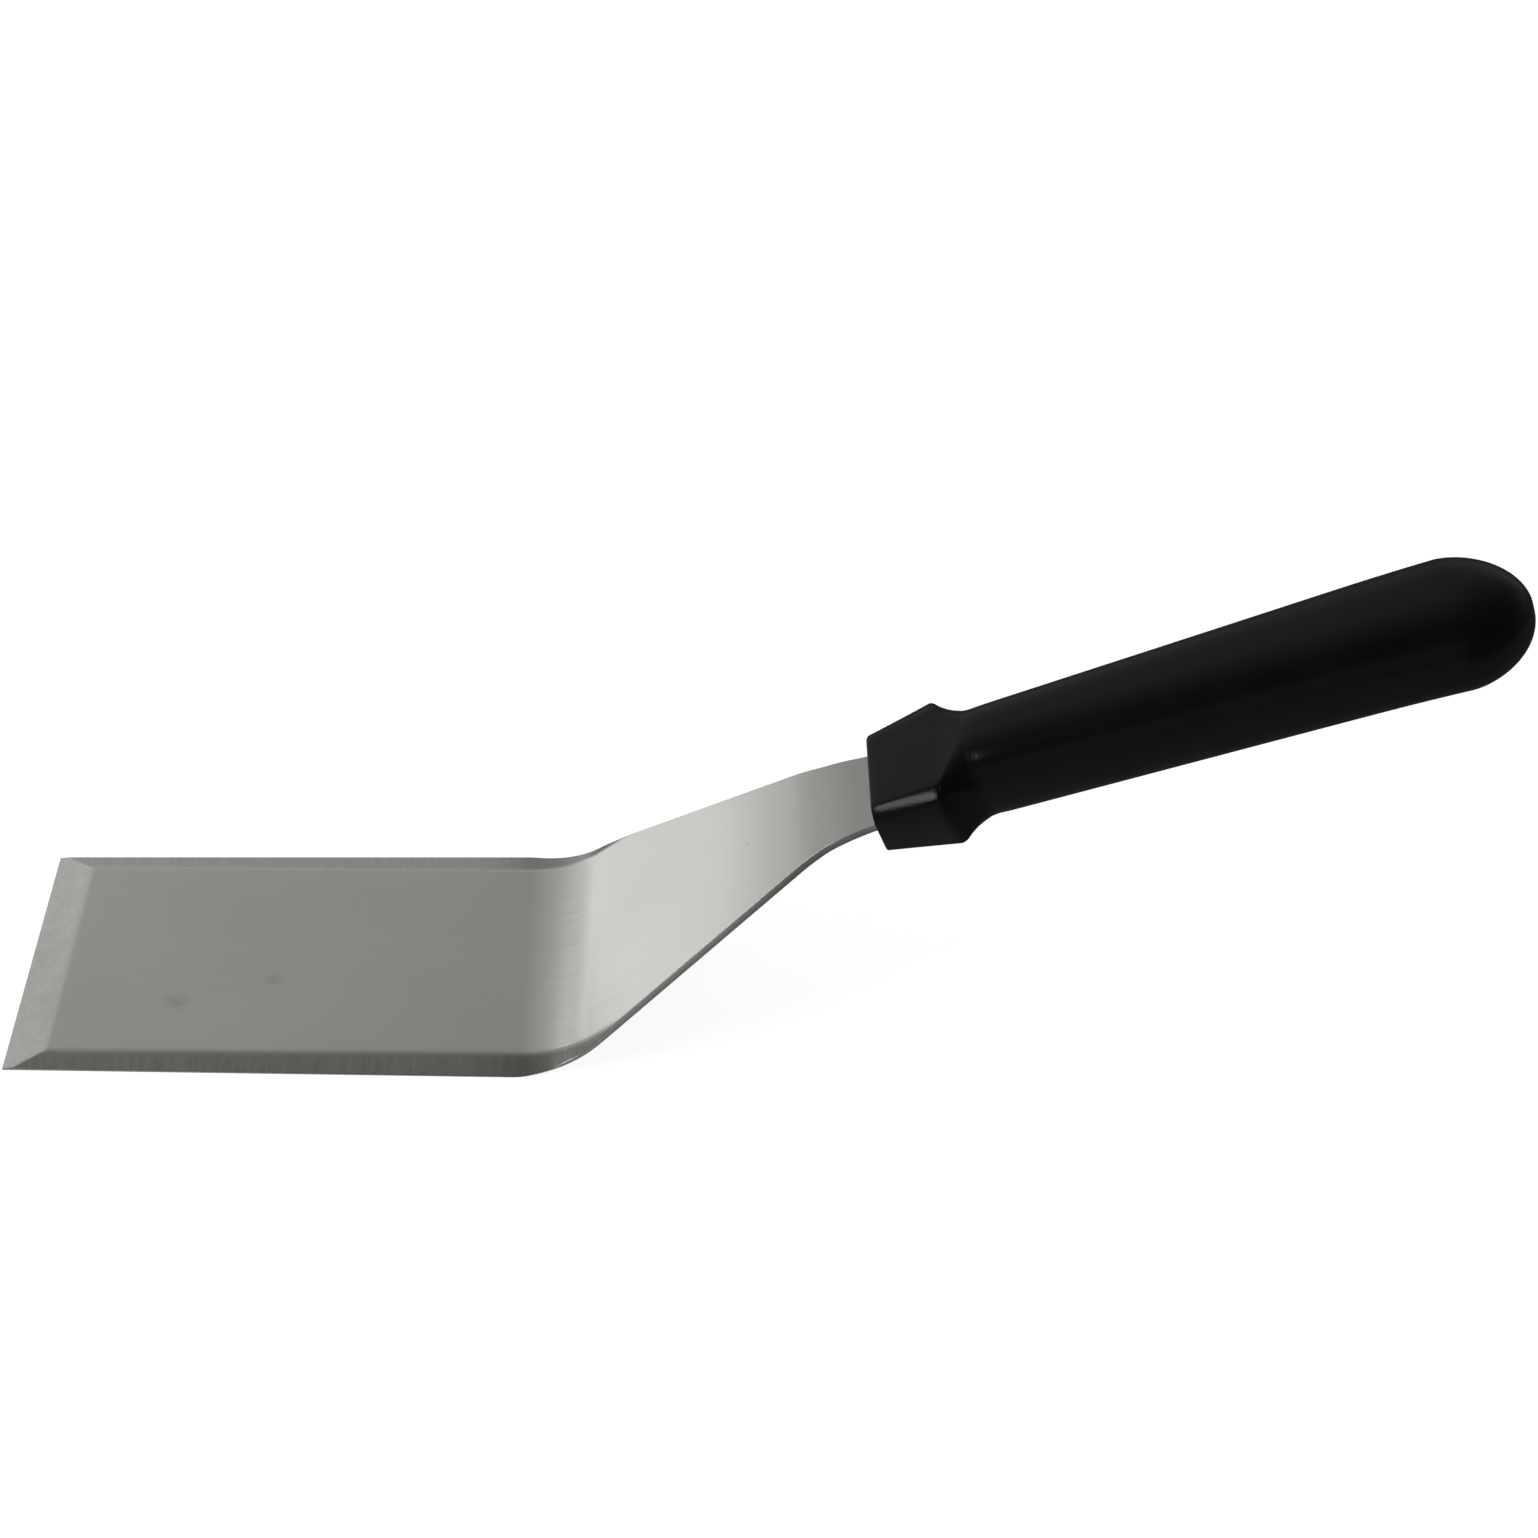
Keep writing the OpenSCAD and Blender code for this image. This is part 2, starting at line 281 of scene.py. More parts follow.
def half_rows(s):
    """Distances from the middle line to the edge at s."""
    half_w, crease = half_width(s), crease_line(s)
    # The rows about the crease close up where it runs out at the edge.
    hold_at = half_w - BREAK - HOLD
    middle = crease + CREASE_ROWS * min(1, CREASE_ROOM_SHARE * (hold_at - crease) / CREASE_ROWS[-1])
    inner = np.linspace(0, middle[0], INNER_ROWS)[:-1]
    outer = np.linspace(middle[-1], hold_at, OUTER_ROWS)[1:]
    return np.concatenate([inner, middle, outer, [half_w - BREAK, half_w]])


def sheet_stations():
    """Distances along the sheet of its rings, closer together at the creases and the bends."""
    tip, end = -BLADE_LEN, HANDLE_AT + TANG_LEN
    return np.concatenate([
        [tip, tip + BREAK, tip + BREAK + HOLD],
        np.linspace(tip, tip + TIP_BEVEL + CREASE_ROWS[0], 7)[1:],
        tip + TIP_BEVEL + CREASE_ROWS[1:],
        np.linspace(tip + TIP_BEVEL, -CORNER_BLEND, 20)[1:],
        np.linspace(-CORNER_BLEND, HEEL_ARC + CORNER_BLEND, 30)[1:],
        np.linspace(HEEL_ARC + CORNER_BLEND, TOP_BEND_AT - CORNER_BLEND, 24)[1:],
        np.linspace(TOP_BEND_AT - CORNER_BLEND, HANDLE_AT + SHOULDER_END + CORNER_BLEND, 30)[1:],
        np.linspace(HANDLE_AT + SHOULDER_END + CORNER_BLEND, end - TANG_CORNER, 12)[1:],
        np.linspace(end - TANG_CORNER, end - BREAK, 4)[1:],
        [end],
    ])


def place_on_sheet(s, y, height):
    x, z = path(s) + height * normal(pitch_at(s))
    return x, y, z


def upper_zone(s, out):
    """Which finish the upper face has at s, at a distance out from the middle line."""
    if out > max(BEVEL_INNER, crease_line(s)):
        return SIDE_GROUND
    return TIP_GROUND if s < TIP_INNER else FACE


def make_blade():
    stations = sheet_stations()
    verts, uvs = [], []
    for number, s in enumerate(stations):
        half = half_rows(s)
        rows = np.concatenate([-half[:0:-1], half])
        at_end = number in (0, len(stations) - 1)
        for face_side in (1, -1):
            for i, y in enumerate(rows if face_side > 0 else rows[::-1]):
                height = upper_height(s, y) if face_side > 0 else -SHEET_T / 2
                if at_end or i in (0, len(rows) - 1):
                    height -= face_side * BREAK
                verts.append(place_on_sheet(s, y, height))
                uvs.append((s, y))
    across = len(rows)
    around = 2 * across
    faces, zones = [], []
    for i in range(len(stations) - 1):
        middle_s = (stations[i] + stations[i + 1]) / 2
        for j in range(around):
            face = band_face(i, j, around)
            faces.append(face)
            if j in (across - 1, around - 1):
                zones.append(CUT)
                continue
            middle_y = (uvs[face[0]][1] + uvs[face[1]][1]) / 2
            zones.append(upper_zone(middle_s, abs(middle_y)) if j < across else FACE)
    caps = cap_faces(0, across, False) + cap_faces((len(stations) - 1) * around, across, True)
    faces += caps
    zones += [CUT] * len(caps)
    piece = new_piece("blade_steel", verts, faces, zones, uvs)
    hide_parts("blade")
    cut_lock_holes(piece)
    return piece


def cut_lock_holes(piece):
    """Drills the two holes of the hidden tang."""
    rise = Matrix.Rotation(-HANDLE_PITCH, 4, "Y")
    for along in LOCK_HOLES_AT:
        x, z = HANDLE_POINT + along * heading(HANDLE_PITCH)
        bpy.ops.mesh.primitive_cylinder_add(vertices=48, radius=LOCK_HOLE_R, depth=SHEET_T * 4)
        drill = bpy.context.object
        drill.matrix_world = Matrix.Translation((x, 0, z)) @ rise
        apply_boolean(piece, drill)


def apply_boolean(piece, tool):
    cut = piece.modifiers.new("cut", "BOOLEAN")
    cut.operation = "DIFFERENCE"
    cut.solver = "EXACT"
    cut.object = tool
    bpy.context.view_layer.update()
    made = bpy.data.meshes.new_from_object(piece.evaluated_get(bpy.context.evaluated_depsgraph_get()))
    piece.modifiers.remove(cut)
    piece.data = made
    bpy.data.objects.remove(tool)


# ---------------------------------------------------------------- handle

# [half width, half height, edge width, edge height] at the ends of the bolster
BOLSTER_FRONT = np.array([10.7, 5.9, 2.6, 2.2]) * MM
BOLSTER_REAR = np.array([12, 7.8, 3.1, 1.5]) * MM
# [half width, half height] at the ends of the grip
GRIP_FRONT = np.array([9.2, 9.2]) * MM
GRIP_REAR = np.array([11.8, 9.3]) * MM
# How full an edge is: 1 is a flat facet, 2 an ellipse
FACET_FULLNESS = 1.3
GRIP_FULLNESS = 2.4
BUTT_FULLNESS = 1.75
UPRIGHT_SHARE = 0.05
FRONT_EDGE_R = 0.4 * MM
CORNER_SOFT = 0.7 * MM
BUTT_SWEEP = 87
GRIP_AT = BOLSTER_LEN + COVE_LEN
BUTT_AT = HANDLE_LEN - BUTT_LEN
DROP_AT = BUTT_AT - DROP_LEN


def soft_step(past, length):
    """A soft step from 0 to 1 over a length that starts at 0."""
    share = min(1, max(0, past / length))
    return share * share * (3 - 2 * share)


def hollow(share):
    """A hollow quarter curve: steep where it leaves the bolster, level where it joins the grip."""
    return 1 - math.sqrt(1 - (1 - share) ** 2)


def bolster_line(u):
    return BOLSTER_FRONT + (BOLSTER_REAR - BOLSTER_FRONT) * u / BOLSTER_LEN


def grip_line(u):
    return GRIP_FRONT + (GRIP_REAR - GRIP_FRONT) * (u - GRIP_AT) / (BUTT_AT - GRIP_AT)


def side_line(u):
    """Half width of the bolster, the hollow behind it and the grip."""
    if u <= BOLSTER_LEN:
        return bolster_line(u)[0]
    grip = grip_line(u)[0]
    return grip + (BOLSTER_REAR[0] - grip) * hollow(min(1, (u - BOLSTER_LEN) / COVE_LEN))


def size_at(u):
    """Half width, half height, edge width, edge height and edge fullness at a distance u."""
    # The running mean takes the sharpness off the bolster's rear corners.
    half_w = np.mean([side_line(u + k * CORNER_SOFT) for k in np.linspace(-1, 1, 9)])
    past = u - BOLSTER_LEN
    if past <= 0:
        _, half_h, edge_w, edge_h = bolster_line(u)
        return half_w, half_h, edge_w, edge_h, FACET_FULLNESS
    ridge = soft_step(past, RIDGE_LEN)
    half_h = bolster_line(u)[1] * (1 - ridge) + grip_line(u)[1] * ridge
    flat = (BOLSTER_REAR[0] - BOLSTER_REAR[2]) * max(0, 1 - past / FLAT_END_LEN)
    share = soft_step(past, COVE_LEN)
    edge_h = BOLSTER_REAR[3] * (1 - share) + half_h * (1 - UPRIGHT_SHARE) * share
    fullness = FACET_FULLNESS + (GRIP_FULLNESS - FACET_FULLNESS) * soft_step(past, FULL_LEN)
    return half_w, half_h, half_w - flat, edge_h, fullness


def fall(share, fullness):
    """How far a full edge has fallen, at a share of the way from its top to its side."""
    return 1 - (1 - share**fullness) ** (1 / fullness)


def depth_inside(u, y, half_w):
    """How far a point of the plan view lies inside the handle's outline."""
    past = u - BUTT_AT
    if past <= 0:
        return half_w - abs(y)
    share = ((past / BUTT_LEN) ** BUTT_FULLNESS + (abs(y) / half_w) ** BUTT_FULLNESS) ** (1 / BUTT_FULLNESS)
    return (1 - share) / share * math.hypot(past, y)


FLAT_STEPS = 12
EDGE_STEPS = 18
# The full edge takes up at most this share of the half width
EDGE_SHARE_MAX = 0.6


def half_row(half_w, edge_w):
    """Distances from the middle line to the side: even over the flat part, closer towards the side."""
    flat = half_w - min(edge_w, half_w * EDGE_SHARE_MAX)
    turn = np.sin(np.radians(np.linspace(0, 90, EDGE_STEPS + 1)[1:]))
    return np.concatenate([np.linspace(0, flat, FLAT_STEPS), flat + (half_w - flat) * turn])


def handle_ring(u, inset=0.0):
    half_w, half_h, edge_w, edge_h, fullness = size_at(u)
    past = max(0, u - BUTT_AT) / BUTT_LEN
    half = half_row(half_w * (1 - past**BUTT_FULLNESS) ** (1 / BUTT_FULLNESS), edge_w)
    drop = BUTT_DROP * (max(0, u - DROP_AT) / (HANDLE_LEN - DROP_AT)) ** 2
    front_h = BOLSTER_FRONT[1]
    lean = FRONT_LEAN / front_h / 2 * max(0, 1 - u / BOLSTER_LEN)
    upper, lower = [], []
    for y in np.concatenate([-half[:0:-1], half]):
        edge_share = 1 - min(1, max(0, depth_inside(u, y, half_w)) / edge_w)
        z = half_h - edge_h * fall(edge_share, fullness)
        y, z = y * (1 - inset / half_w), z * (1 - inset / half_h)
        upper.append((u - lean * (front_h - z), y, z - drop))
        lower.append((u - lean * (front_h + z), y, -z - drop))
    return upper + lower[::-1]


def handle_stations():
    """(distance from the front face, inset) for each ring of the handle."""
    quarter = np.radians(np.linspace(0, 90, 5))
    front = [(FRONT_EDGE_R * (1 - math.cos(a)), FRONT_EDGE_R * (1 - math.sin(a))) for a in quarter]
    bolster = [(u, 0) for u in np.linspace(FRONT_EDGE_R, BOLSTER_LEN - CORNER_SOFT, 10)[1:]]
    corner = [(u, 0) for u in np.linspace(BOLSTER_LEN - CORNER_SOFT, BOLSTER_LEN + CORNER_SOFT, 13)[1:]]
    cove = [(u, 0) for u in np.linspace(BOLSTER_LEN + CORNER_SOFT, GRIP_AT + CORNER_SOFT, 27)[1:]]
    grip = [(u, 0) for u in np.linspace(GRIP_AT + CORNER_SOFT, BUTT_AT, 50)[1:]]
    butt = [(BUTT_AT + BUTT_LEN * math.sin(a), 0) for a in np.radians(np.linspace(0, BUTT_SWEEP, 36)[1:])]
    return front + bolster + corner + cove + grip + butt


def make_handle():
    rings = [handle_ring(u, inset) for u, inset in handle_stations()]
    around = len(rings[0])
    start = Matrix.Translation((HANDLE_POINT[0], 0, HANDLE_POINT[1]))
    frame_matrix = start @ Matrix.Rotation(-HANDLE_PITCH, 4, "Y")
    lift = Vector((0, 0, HANDLE_RISE))
    verts = [frame_matrix @ (Vector(p) + lift) for ring in rings for p in ring]
    across = around // 2
    faces = [band_face(i, j, around) for i in range(len(rings) - 1) for j in range(around)]
    faces += cap_faces(0, across, False) + cap_faces((len(rings) - 1) * around, across, True)
    piece = new_piece("handle_moulding", verts, faces)
    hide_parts("handle")
    return piece


def copy_of(piece):
    double = piece.copy()
    double.data = piece.data.copy()
    bpy.context.collection.objects.link(double)
    return double


blade = make_blade()
handle = make_handle()
apply_boolean(handle, copy_of(blade))

# ---------------------------------------------------------------- materials


def new_material(name):
    material = bpy.data.materials.new(name)
    material.use_nodes = True
    tree = material.node_tree
    tree.nodes.clear()
    output = tree.nodes.new("ShaderNodeOutputMaterial")
    shader = tree.nodes.new("ShaderNodeBsdfPrincipled")
    tree.links.new(shader.outputs["BSDF"], output.inputs["Surface"])
    return material, tree, shader


def link(tree, source, target):
    tree.links.new(source, target)


def math_node(tree, operation, a, b=None):
    node = tree.nodes.new("ShaderNodeMath")
    node.operation = operation
    for socket, value in zip(node.inputs, (a, b)):
        if value is None:
            continue
        if isinstance(value, (int, float)):
            socket.default_value = value
        else:
            link(tree, value, socket)
    return node.outputs[0]


def remap(tree, value, low, high, to_low, to_high):
    node = tree.nodes.new("ShaderNodeMapRange")
    link(tree, value, node.inputs["Value"])
    for name, number in (("From Min", low), ("From Max", high), ("To Min", to_low), ("To Max", to_high)):
        node.inputs[name].default_value = number
    return node.outputs["Result"]


def smooth_share(tree, value, low, high):
    node = tree.nodes.new("ShaderNodeMapRange")
    node.interpolation_type = "SMOOTHSTEP"
    link(tree, value, node.inputs["Value"])
    node.inputs["From Min"].default_value = low
    node.inputs["From Max"].default_value = high
    return node.outputs["Result"]


def scaled_noise(tree, vector, scale, detail=2.0, roughness=0.5, offset=(0, 0, 0)):
    mapping = tree.nodes.new("ShaderNodeMapping")
    mapping.inputs["Scale"].default_value = scale
    mapping.inputs["Location"].default_value = offset
    link(tree, vector, mapping.inputs["Vector"])
    node = tree.nodes.new("ShaderNodeTexNoise")
    node.inputs["Scale"].default_value = 1.0
    node.inputs["Detail"].default_value = detail
    node.inputs["Roughness"].default_value = roughness
    link(tree, mapping.outputs["Vector"], node.inputs["Vector"])
    return node.outputs["Fac"]


def mix_colour(tree, factor, a, b):
    node = tree.nodes.new("ShaderNodeMix")
    node.data_type = "RGBA"
    for socket, value in ((node.inputs[0], factor), (node.inputs[6], a), (node.inputs[7], b)):
        if isinstance(value, (int, float)):
            socket.default_value = value
        elif isinstance(value, tuple):
            socket.default_value = (*value, 1)
        else:
            link(tree, value, socket)
    return node.outputs[2]


def bump(tree, height, distance):
    node = tree.nodes.new("ShaderNodeBump")
    node.inputs["Distance"].default_value = distance
    node.inputs["Strength"].default_value = 1.0
    link(tree, height, node.inputs["Height"])
    return node.outputs["Normal"]


def sheet_uv(tree):
    node = tree.nodes.new("ShaderNodeUVMap")
    node.uv_map = "along_sheet"
    return node.outputs["UV"]


# Painted shade: the steel's colour darkens over this stretch of the neck, towards the handle, where its
# reflection is dimmer
NECK_PAINTED_SHADE = (46 * MM, 75 * MM)
# Painted shade: the side bevels' colour darkens as they run out past the heel, where they reflect less light
BEVEL_PAINTED_SHADE = (-12 * MM, 5 * MM)
# Painted shade: how far the darkened colour takes over at the end of its stretch, and its brightness beside
# the steel's own colour
PAINTED_SHADE_SHARE = 0.65
PAINTED_SHADE_LEVEL = 0.45
# Faint clouds all over the steel: how many per metre along and across, how strong, and their colour
CLOUD_SCALE = (28, 40, 1)
CLOUD_SHARE = 0.10
CLOUD_COLOUR = (0.36, 0.34, 0.31)
# A stain's colour, how fine its ragged edge is, and how ragged
STAIN_COLOUR = (0.20, 0.14, 0.09)
STAIN_RAG_SCALE = (900, 900, 1)
STAIN_RAG = 1.4
# The grain is mostly fine scratches. The coarse ones number these shares of the fine, along and across
FINE_SHARE = 0.6
COARSE_ALONG, COARSE_ACROSS = 0.25, 0.22
# How far the grain takes the roughness below and above its mean
SMOOTHER, ROUGHER = 0.05, 0.06


def steel(name, colour, grain_scale, roughness, spread, anisotropy, turn, bump_height,
          painted_shade_span=NECK_PAINTED_SHADE, border=None, stains=()):
    """Ground or brushed steel. grain_scale is in scratches per metre along and across the sheet.

    border is (axis, where the finish is all its own, where it has turned into the face's colour).
    """
    material, tree, shader = new_material(name)
    uv = sheet_uv(tree)
    along, across = grain_scale
    fine = scaled_noise(tree, uv, (along, across, 1), detail=3, roughness=0.6)
    coarse_scale = (along * COARSE_ALONG, across * COARSE_ACROSS, 1)
    coarse = scaled_noise(tree, uv, coarse_scale, detail=2, offset=(3.7, 1.3, 0))
    fine_part = math_node(tree, "MULTIPLY", fine, FINE_SHARE)
    grain = math_node(tree, "ADD", fine_part, math_node(tree, "MULTIPLY", coarse, 1 - FINE_SHARE))
    cloud = scaled_noise(tree, uv, CLOUD_SCALE, detail=2, offset=(0.4, 2.1, 0))
    dark = tuple(c * (1 - spread) for c in colour)
    light = tuple(c * (1 + spread) for c in colour)
    tint = mix_colour(tree, remap(tree, grain, 0.3, 0.7, 0, 1), dark, light)
    tint = mix_colour(tree, remap(tree, cloud, 0.35, 0.7, 0, CLOUD_SHARE), tint, CLOUD_COLOUR)
    separate = tree.nodes.new("ShaderNodeSeparateXYZ")
    link(tree, uv, separate.inputs["Vector"])
    # Painted shade: the colour darkens along the sheet over the stretch given
    painted_shade = smooth_share(tree, separate.outputs["X"], *painted_shade_span)
    painted_shade_colour = tuple(c * PAINTED_SHADE_LEVEL for c in colour)
    tint = mix_colour(tree, math_node(tree, "MULTIPLY", painted_shade, PAINTED_SHADE_SHARE), tint, painted_shade_colour)
    if border is not None:
        axis, own_from, face_from = border
        distance = math_node(tree, "ABSOLUTE", separate.outputs[axis])
        tint = mix_colour(tree, smooth_share(tree, distance, own_from, face_from), tint, FACE_COLOUR)
    for centre, size, strength in stains:
        tint = add_stain(tree, uv, tint, centre, size, strength)
    link(tree, tint, shader.inputs["Base Color"])
    shader.inputs["Metallic"].default_value = 1
    shader.inputs["Anisotropic"].default_value = anisotropy
    shader.inputs["Anisotropic Rotation"].default_value = turn
    tangent = tree.nodes.new("ShaderNodeTangent")
    tangent.direction_type = "UV_MAP"
    tangent.uv_map = "along_sheet"
    link(tree, tangent.outputs["Tangent"], shader.inputs["Tangent"])
    varied = remap(tree, grain, 0.25, 0.75, roughness - SMOOTHER, roughness + ROUGHER)
    link(tree, varied, shader.inputs["Roughness"])
    link(tree, bump(tree, grain, bump_height), shader.inputs["Normal"])
    return material


def add_stain(tree, uv, tint, centre, size, strength):
    """A faint brown mark with a ragged edge."""
    separate = tree.nodes.new("ShaderNodeSeparateXYZ")
    link(tree, uv, separate.inputs["Vector"])
    dx = math_node(tree, "DIVIDE", math_node(tree, "SUBTRACT", separate.outputs["X"], centre[0]), size[0])
    dy = math_node(tree, "DIVIDE", math_node(tree, "SUBTRACT", separate.outputs["Y"], centre[1]), size[1])
    squared = math_node(tree, "ADD", math_node(tree, "MULTIPLY", dx, dx), math_node(tree, "MULTIPLY", dy, dy))
    ragged = scaled_noise(tree, uv, STAIN_RAG_SCALE, detail=3)
    edge = math_node(tree, "ADD", squared, math_node(tree, "MULTIPLY", ragged, STAIN_RAG))
    return mix_colour(tree, remap(tree, edge, 0.5, 1.7, strength, 0), tint, STAIN_COLOUR)


PEBBLES = 2400
PEBBLE_HEIGHT = 0.018 * MM
PATCHES = 90
PATCH_GAIN = 1.35
PLASTIC_COLOUR = (0.0025, 0.0030, 0.0029)
PLASTIC_ROUGHNESS = (0.19, 0.24)
PLASTIC_SPECULAR = 0.16


def plastic(name, colour):
    """Black moulded plastic with a very fine pebble and slightly paler patches, both counted per metre."""
    material, tree, shader = new_material(name)
    coords = tree.nodes.new("ShaderNodeTexCoord").outputs["Object"]
    pebble = scaled_noise(tree, coords, (PEBBLES, PEBBLES, PEBBLES), detail=3)
    soft = scaled_noise(tree, coords, (PATCHES, PATCHES, PATCHES), detail=3)
    paler = tuple(c * PATCH_GAIN for c in colour)
    tint = mix_colour(tree, remap(tree, soft, 0.35, 0.65, 0, 1), colour, paler)
    link(tree, tint, shader.inputs["Base Color"])
    link(tree, remap(tree, soft, 0.3, 0.7, *PLASTIC_ROUGHNESS), shader.inputs["Roughness"])
    shader.inputs["Specular IOR Level"].default_value = PLASTIC_SPECULAR
    link(tree, bump(tree, pebble, PEBBLE_HEIGHT), shader.inputs["Normal"])
    return material


# The anisotropic rotation that makes scratches run along the sheet, or across it
ALONG, ACROSS = 0.25, 0.0
FACE_COLOUR = (0.60, 0.602, 0.565)
steel_face = steel(
    "brushed_face", FACE_COLOUR, grain_scale=(150, 3200), roughness=0.30, spread=0.07,
    anisotropy=0.75, turn=ALONG, bump_height=0.004 * MM,
    stains=(
        ((-68.5 * MM, -11 * MM), (3.4 * MM, 2.4 * MM), 0.20),
        ((-50 * MM, -5.5 * MM), (2.2 * MM, 1.8 * MM), 0.22),
        ((58 * MM, 1.3 * MM), (0.4 * MM, 0.4 * MM), 0.5),
    ),
)
steel_side = steel(
    "ground_side", (0.545, 0.535, 0.50), grain_scale=(2600, 300), roughness=0.20, spread=0.12,
    anisotropy=0.35, turn=ACROSS, bump_height=0.002 * MM,
    painted_shade_span=BEVEL_PAINTED_SHADE, border=("Y", BEVEL_INNER + 1.2 * MM, BEVEL_INNER),
)
steel_tip = steel(
    "ground_tip", (0.645, 0.648, 0.615), grain_scale=(700, 450), roughness=0.33, spread=0.12,
    anisotropy=0.3, turn=ACROSS, bump_height=0.006 * MM,
    border=("X", -TIP_INNER + 1.5 * MM, -TIP_INNER),
)
steel_cut = steel(
    "sheared_edge", (0.78, 0.77, 0.74), grain_scale=(600, 2500), roughness=0.5, spread=0.08,
    anisotropy=0, turn=ALONG, bump_height=0.004 * MM,
)
for material in (steel_face, steel_side, steel_tip, steel_cut):
    blade.data.materials.append(material)
handle.data.materials.append(plastic("black_plastic", PLASTIC_COLOUR))

# ---------------------------------------------------------------- floor, backdrop and light


def glowing_white(name, glow, albedo):
    """A pale surface that shines by itself, so that shadows on it stay faint."""
    material, _, shader = new_material(name)
    shader.inputs["Base Color"].default_value = (albedo, albedo, albedo, 1)
    shader.inputs["Roughness"].default_value = 0.9
    shader.inputs["Specular IOR Level"].default_value = 0
    shader.inputs["Emission Color"].default_value = (1, 1, 1, 1)
    shader.inputs["Emission Strength"].default_value = glow
    return material


FLOOR_HALF = 6.0
FLOOR_GAP = 0.05 * MM
BACKDROP_R = FLOOR_HALF * 0.9


def make_floor():
    half = FLOOR_HALF
    mesh = bpy.data.meshes.new("floor")
    corners = [(-half, -half, 0), (half, -half, 0), (half, half, 0), (-half, half, 0)]
    mesh.from_pydata(corners, [], [(0, 1, 2, 3)])
    mesh.materials.append(glowing_white("pale_floor", glow=0.9, albedo=0.45))
    floor = bpy.data.objects.new("floor", mesh)
    floor.location.z = -FLOOR_GAP
    floor.visible_glossy = False
    bpy.context.collection.objects.link(floor)


def make_backdrop():
    """A pale sphere that only the camera sees. What lights the object is the world beyond it."""
    bpy.ops.mesh.primitive_uv_sphere_add(segments=48, ring_count=24, radius=BACKDROP_R)
    backdrop = bpy.context.object
    backdrop.name = "backdrop"
    backdrop.data.materials.append(glowing_white("pale_backdrop", glow=1.0, albedo=0))
    backdrop.visible_glossy = backdrop.visible_diffuse = backdrop.visible_shadow = False


# Brightness of the room in each direction
FAR_LEVEL = 0.44
LEFT_GAIN = 0.42
LOW_LEFT_GAIN = 0.9
NEAR_SHARE = 0.16
NEAR_LOW_LEVEL = 0.24
NEAR_FLOOR_LEVEL = 0.30
FAR_FLOOR_LEVEL = 0.09
# How steeply the far light falls towards the near side, and the share of it left straight along +Y
FAR_FALL = 1.8
FAR_EDGE_SHARE = 0.75
RIGHT_LOW_LOSS = 0.6
RIGHT_FLOOR_SHARE = 0.5
ROOM_COLOUR = (0.99, 0.995, 1.0)


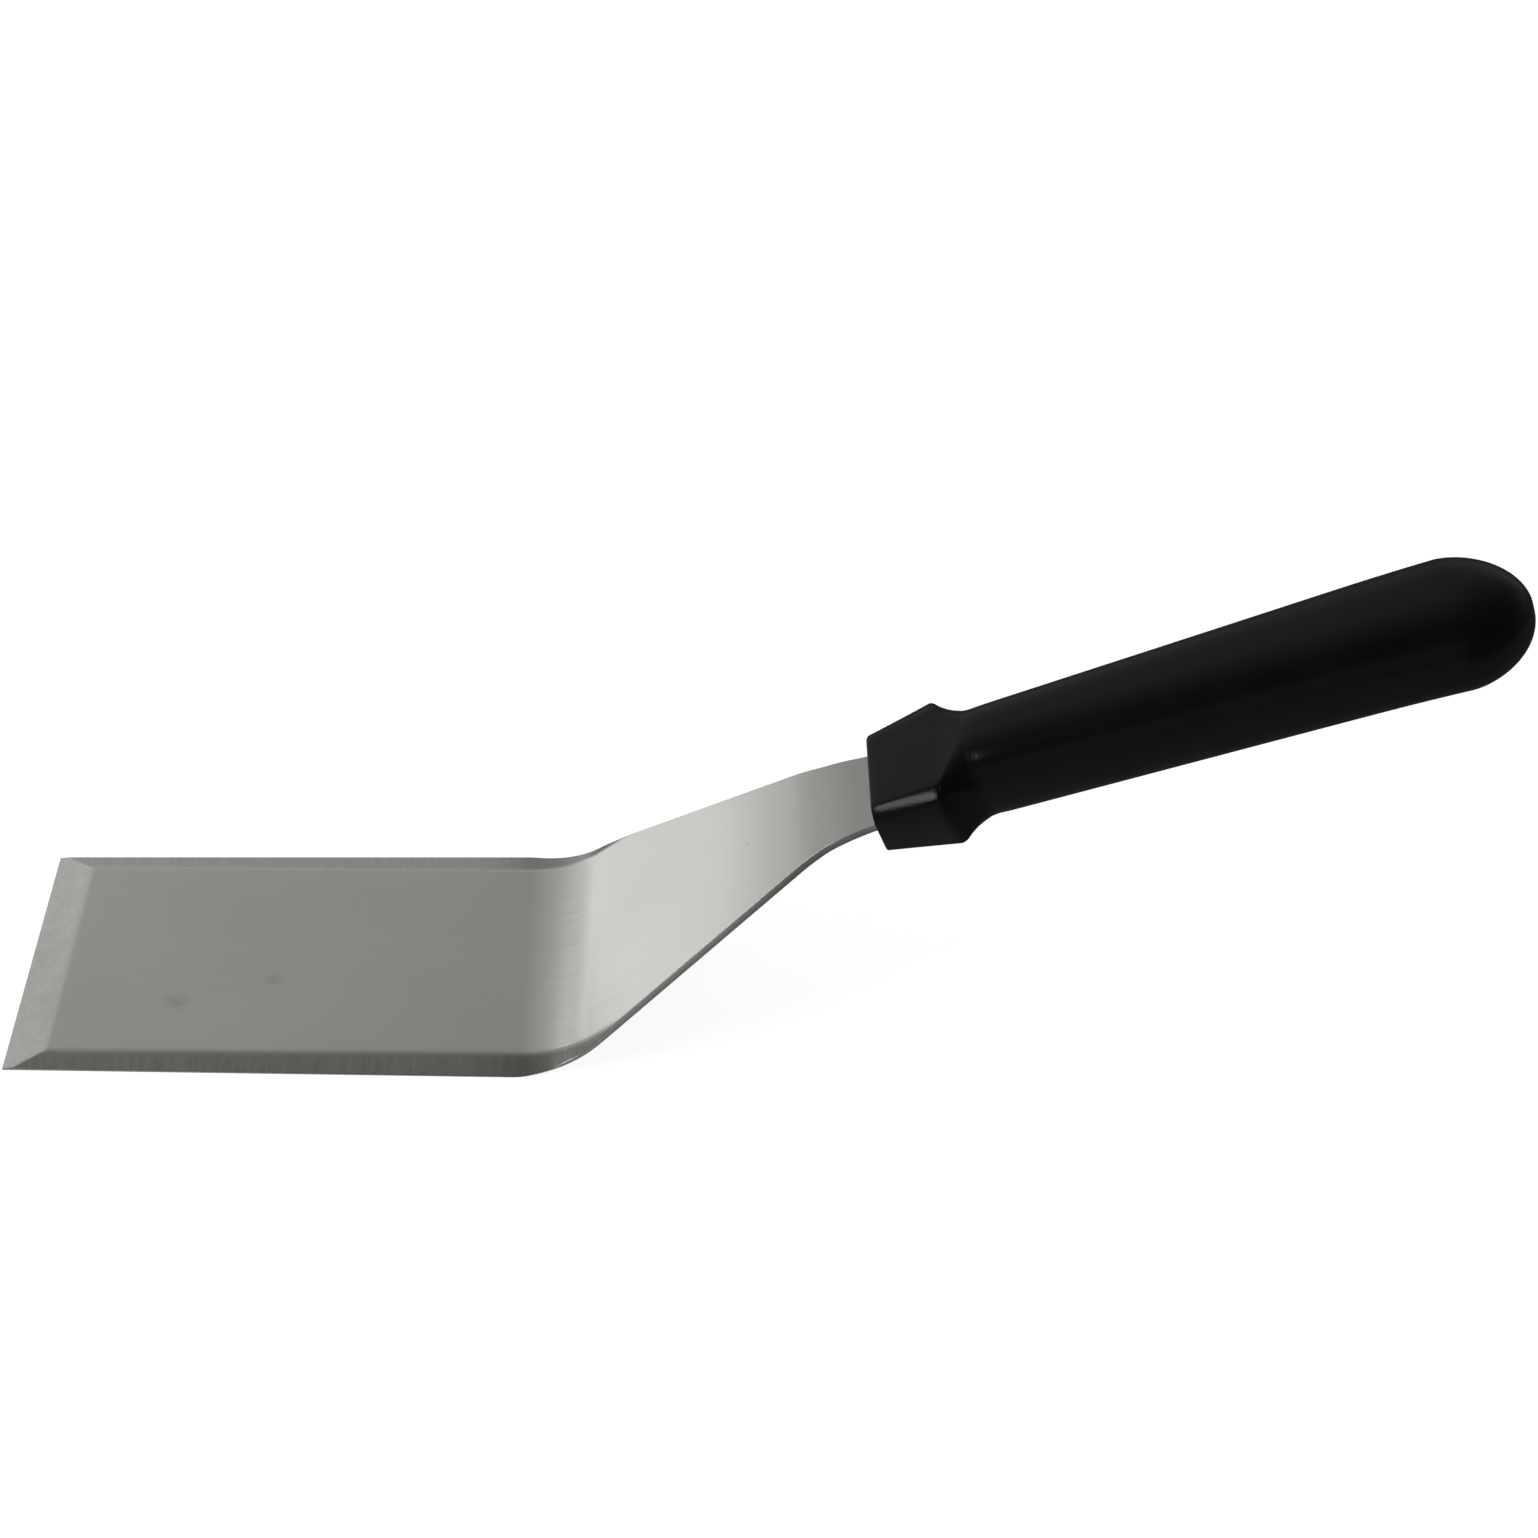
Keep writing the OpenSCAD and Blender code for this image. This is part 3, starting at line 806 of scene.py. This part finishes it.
def world_light():
    """Soft light from all round: bright on the far side and low on the left, dim above the near side."""
    world = bpy.data.worlds.new("studio")
    bpy.context.scene.world = world
    world.use_nodes = True
    tree = world.node_tree
    tree.nodes.clear()
    output = tree.nodes.new("ShaderNodeOutputWorld")
    background = tree.nodes.new("ShaderNodeBackground")
    link(tree, background.outputs[0], output.inputs["Surface"])
    separate = tree.nodes.new("ShaderNodeSeparateXYZ")
    link(tree, tree.nodes.new("ShaderNodeTexCoord").outputs["Generated"], separate.inputs["Vector"])
    x, y, z = (separate.outputs[axis] for axis in "XYZ")

    def times(a, b):
        return math_node(tree, "MULTIPLY", a, b)

    def plus(a, b):
        return math_node(tree, "ADD", a, b)

    def rest_of(share):
        return math_node(tree, "SUBTRACT", 1, share)

    # The far side, brighter on the left and darker low on the right
    left = remap(tree, x, -1, 0, LEFT_GAIN, 0)
    far_share = math_node(tree, "POWER", remap(tree, y, -0.4, 0.6, 0, 1), FAR_FALL)
    far_share = times(far_share, remap(tree, y, 0.7, 1, 1, FAR_EDGE_SHARE))
    far = times(plus(left, FAR_LEVEL), plus(times(far_share, 1 - NEAR_SHARE), NEAR_SHARE))
    right_low = times(smooth_share(tree, x, -0.25, 0.1), smooth_share(tree, z, 0.25, -0.1))
    far = times(far, rest_of(times(right_low, RIGHT_LOW_LOSS)))
    # The near side, lit only low down and not on the right
    near_low = times(smooth_share(tree, z, 0.85, 0.35), smooth_share(tree, y, -0.3, -0.9))
    near_low = times(near_low, smooth_share(tree, x, 0.35, -0.35))
    sky = plus(far, times(near_low, NEAR_LOW_LEVEL))
    # Below the horizon: what the floor would send back, more near than far
    below = smooth_share(tree, z, 0.0, -0.3)
    floor = remap(tree, y, -0.5, 0.4, NEAR_FLOOR_LEVEL, FAR_FLOOR_LEVEL)
    floor = times(floor, remap(tree, x, 0, 0.35, 1, RIGHT_FLOOR_SHARE))
    room = plus(times(sky, rest_of(below)), times(below, floor))
    # A bright patch low on the far left
    low_left = times(smooth_share(tree, x, -0.35, -0.85), smooth_share(tree, z, 0.35, -0.15))
    level = plus(room, times(times(low_left, smooth_share(tree, y, 0.1, 0.6)), LOW_LEFT_GAIN))
    link(tree, level, background.inputs["Strength"])
    background.inputs["Color"].default_value = (*ROOM_COLOUR, 1)


def area_light(name, centre, towards, size, watts, colour):
    data = bpy.data.lights.new(name, "AREA")
    data.shape = "RECTANGLE"
    data.size, data.size_y = size
    data.energy = watts
    data.color = colour
    light = bpy.data.objects.new(name, data)
    light.location = centre
    light.rotation_euler = (Vector(towards) - Vector(centre)).to_track_quat("-Z", "Y").to_euler()
    bpy.context.collection.objects.link(light)


# From the bolster to the window, in metres: left, a little near, and up
WINDOW_WAY = Vector((-0.80, -0.20, 0.53)) * 1.3
WINDOW_SIZE = (0.42, 0.36)
WINDOW_WATTS = 4.0
WINDOW_COLOUR = (0.92, 0.97, 1)

make_floor()
make_backdrop()
world_light()
bolster = Vector((HANDLE_POINT[0], 0, HANDLE_POINT[1]))
area_light("window_left", bolster + WINDOW_WAY, bolster, WINDOW_SIZE, WINDOW_WATTS, WINDOW_COLOUR)

scene = bpy.context.scene
scene.view_settings.view_transform = "Standard"
scene.view_settings.look = "None"
